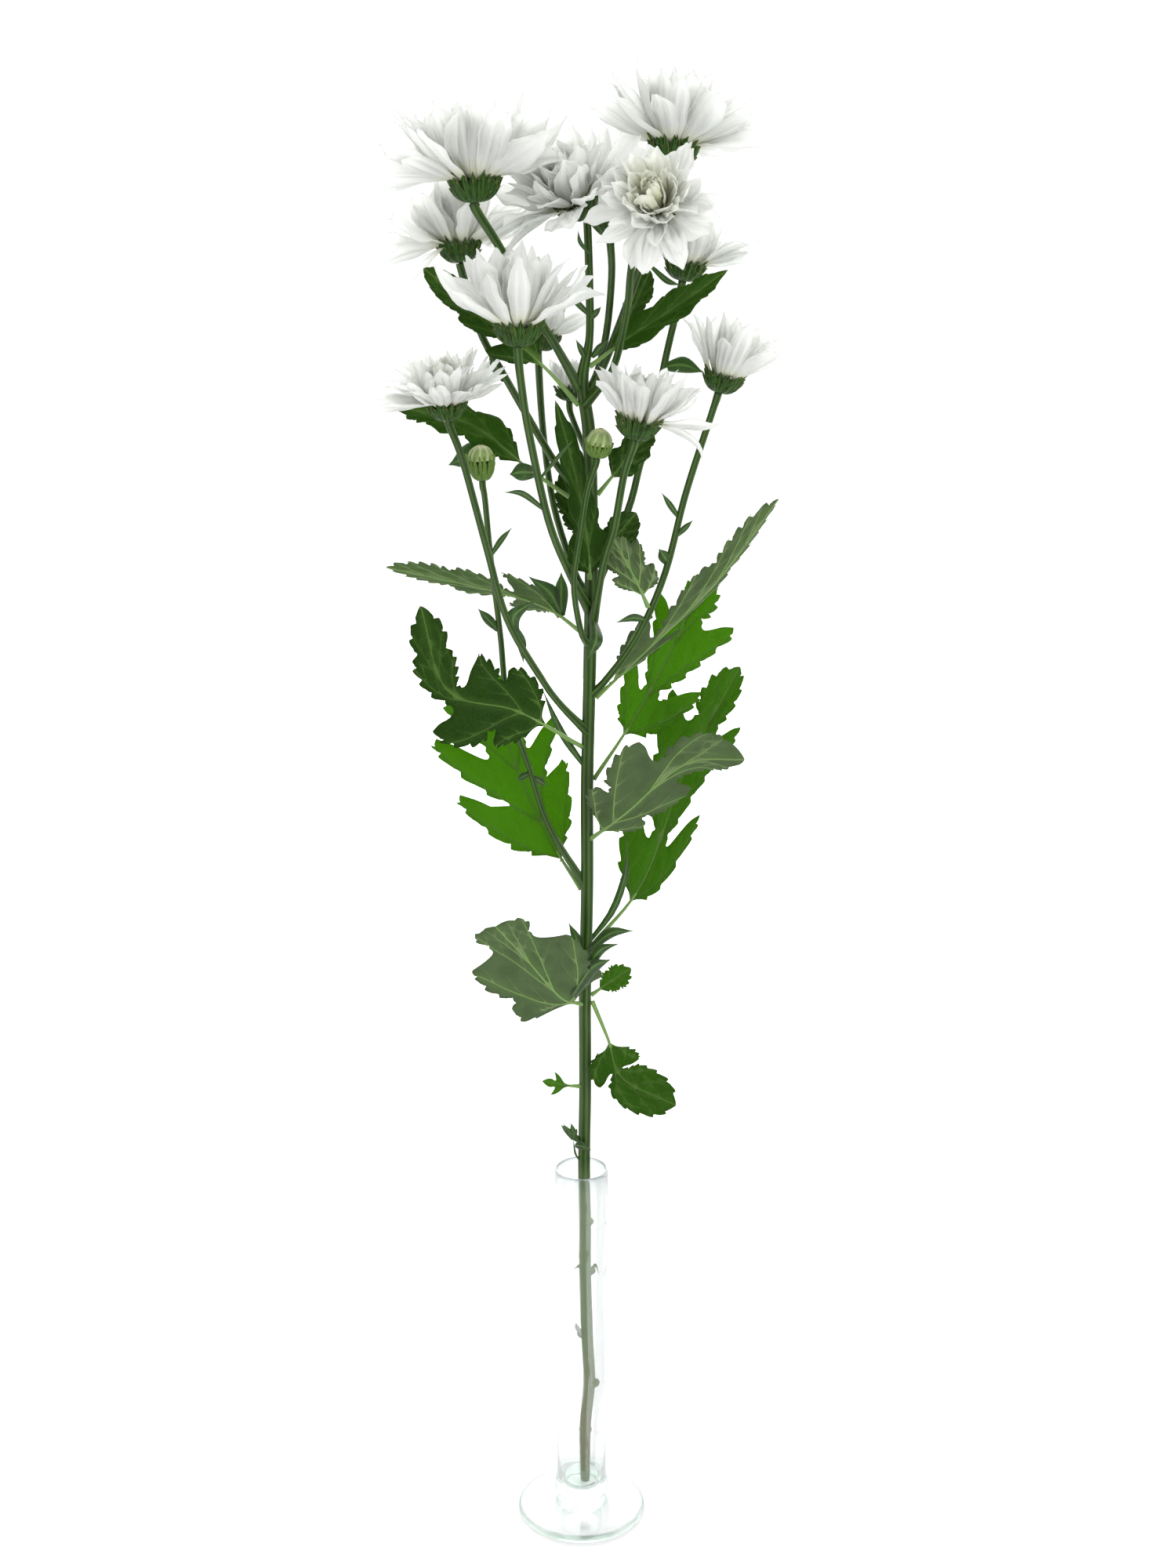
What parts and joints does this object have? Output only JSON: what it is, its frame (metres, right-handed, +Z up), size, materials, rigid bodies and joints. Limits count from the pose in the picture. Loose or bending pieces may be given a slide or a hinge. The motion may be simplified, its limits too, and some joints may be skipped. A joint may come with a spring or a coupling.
{
  "type": "spray chrysanthemum in bud vase",
  "caption": "White spray chrysanthemum with open cup-shaped heads, closed buds and lobed leaves, a single cut stem standing in a clear glass bud vase with a round foot",
  "frame": {"origin": "on the vase's axis, at the flat underside of its foot, where it meets the table", "axes": "+Z up along the vase and the stem, -Y towards the side the picture was taken from, +X to the right"},
  "size_m": [0.1831, 0.1511, 0.7055],
  "materials": {
    "clear_glass": "smooth clear glass, faint green in its thick edges",
    "stem_green": "ribbed green stem, browner at the cut end",
    "cup_green": "overlapping dark green scales with pale dry edges",
    "petal_white": "soft white petals, creamy at their bases",
    "bud_cream": "closed cream petals with green streaks",
    "leaf_green": "matte lobed leaf, dark above, grey-green and veined beneath"
  },
  "bodies": {
    "root": {"bloom_a": "petal_white", "bloom_b": "petal_white", "bloom_c": "petal_white", "bloom_d": "petal_white", "bloom_e": "petal_white", "bloom_f": "petal_white", "bloom_g": "petal_white", "bloom_h": "petal_white", "bloom_i": "petal_white", "bloom_j": "petal_white", "bloom_k": "petal_white", "bloom_l": "petal_white", "bloom_m": "petal_white", "bud_tip_n": "bud_cream", "bud_tip_o": "bud_cream", "cup_a": "cup_green", "cup_b": "cup_green", "cup_c": "cup_green", "cup_d": "cup_green", "cup_e": "cup_green", "cup_f": "cup_green", "cup_g": "cup_green", "cup_h": "cup_green", "cup_i": "cup_green", "cup_j": "cup_green", "cup_k": "cup_green", "cup_l": "cup_green", "cup_m": "cup_green", "cup_n": "cup_green", "cup_o": "cup_green", "leaf_behind_mid": "leaf_green", "leaf_drooping": "leaf_green", "leaf_front_left": "leaf_green", "leaf_front_mid": "leaf_green", "leaf_front_right": "leaf_green", "leaf_left_big": "leaf_green", "leaf_left_bright": "leaf_green", "leaf_left_long": "leaf_green", "leaf_low_left": "leaf_green", "leaf_low_mid_right": "leaf_green", "leaf_low_right": "leaf_green", "leaf_mid_right": "leaf_green", "leaf_on_right_stem": "leaf_green", "leaf_right_lobed": "leaf_green", "leaf_right_long": "leaf_green", "leaf_right_tall": "leaf_green", "leaf_top_left": "leaf_green", "leaf_under_left": "leaf_green", "leaf_upper_back": "leaf_green", "leaf_upper_right": "leaf_green", "stem": "stem_green", "vase": "clear_glass"}
  },
  "joints": []
}
